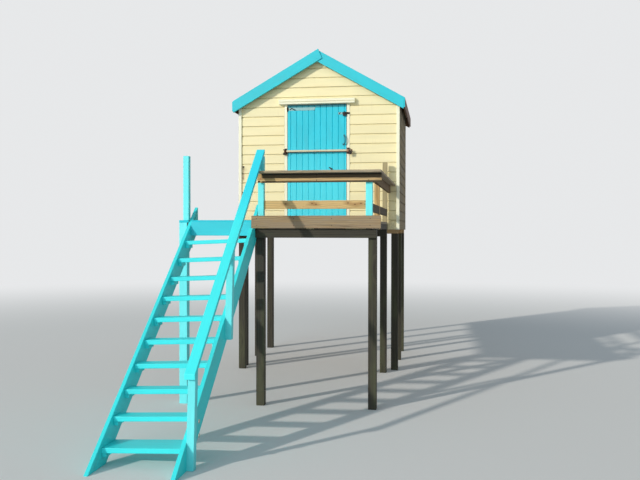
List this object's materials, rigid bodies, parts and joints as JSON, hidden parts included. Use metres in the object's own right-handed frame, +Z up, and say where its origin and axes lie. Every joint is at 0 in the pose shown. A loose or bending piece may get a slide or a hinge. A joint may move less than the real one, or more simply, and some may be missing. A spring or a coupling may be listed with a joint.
{
  "type": "beach hut",
  "caption": "Timber beach hut on tall legs, with a railed deck in front and a steep open-tread stair down to the beach.",
  "frame": {"origin": "middle of the whole footprint at the level of the stair foot, below the middle of the hut's width", "axes": "+X to the right seen from the front, +Y from the stair foot back to the hut, +Z up"},
  "size_m": [2.56, 7.195, 4.6893],
  "materials": {
    "cream_paint": "painted, satin",
    "turquoise_paint": "painted, satin, worn on the treads",
    "door_paint": "painted, satin",
    "roof_felt": "mineral felt",
    "brown_timber": "stained",
    "rail_timber": "bare, sawn",
    "grey_brown_timber": "weathered",
    "deck_timber": "weathered",
    "weathered_timber": "dark, weathered",
    "bare_timber": "bare, planed",
    "black_iron": "black, rusted at the edges",
    "galvanised_steel": "galvanised, dull"
  },
  "bodies": {
    "hut": {"hut_legs": "weathered_timber", "floor_bearers": "bare_timber", "floor_joists": "bare_timber", "hut_floor": "bare_timber", "front_wall_left": "cream_paint", "front_wall_right": "cream_paint", "front_gable": "cream_paint", "left_wall": "grey_brown_timber", "right_wall": "grey_brown_timber", "back_wall": "grey_brown_timber", "wall_studs": "bare_timber", "corner_boards": "cream_paint", "roof_left": "roof_felt", "roof_right": "roof_felt", "roof_purlins": "bare_timber", "bargeboard_left": "turquoise_paint", "bargeboard_right": "turquoise_paint", "bargeboards_back": "brown_timber", "eave_fascias": "brown_timber", "door_frame": "cream_paint", "door_sill": "cream_paint", "door_canopy": "cream_paint", "jamb_fittings": "galvanised_steel", "deck_boards": "deck_timber", "deck_joists": "weathered_timber", "deck_beams": "weathered_timber", "deck_fascia": "grey_brown_timber", "landing_board": "turquoise_paint", "deck_legs": "weathered_timber", "rail_caps": "rail_timber", "rail_boards": "rail_timber", "mid_rails": "rail_timber", "rail_post_front": "turquoise_paint", "rail_posts_back": "rail_timber", "string_left": "turquoise_paint", "string_right": "turquoise_paint", "stair_treads": "turquoise_paint", "tread_cleats": "turquoise_paint", "newels": "turquoise_paint", "handrail": "turquoise_paint"},
    "door": {"door_leaf": "door_paint", "door_ledges": "bare_timber", "door_straps": "black_iron", "door_furniture": "black_iron"},
    "bar": {"locking_bar": "galvanised_steel"}
  },
  "joints": [
    {"name": "door_hinge", "type": "hinge", "parent": "hut", "child": "door", "pos_m": [-0.4585, 1.59319, 3.1135], "axis": [0, 0, -1], "range_deg": [0, 100]},
    {"name": "bar_pivot", "type": "hinge", "parent": "hut", "child": "bar", "pos_m": [-0.4935, 1.56449, 3.2055], "axis": [0, 0, -1], "range_deg": [0, 100]}
  ],
  "couplings": [
    {"joint": "bar_pivot", "follows": "door_hinge", "ratio": 1}
  ]
}
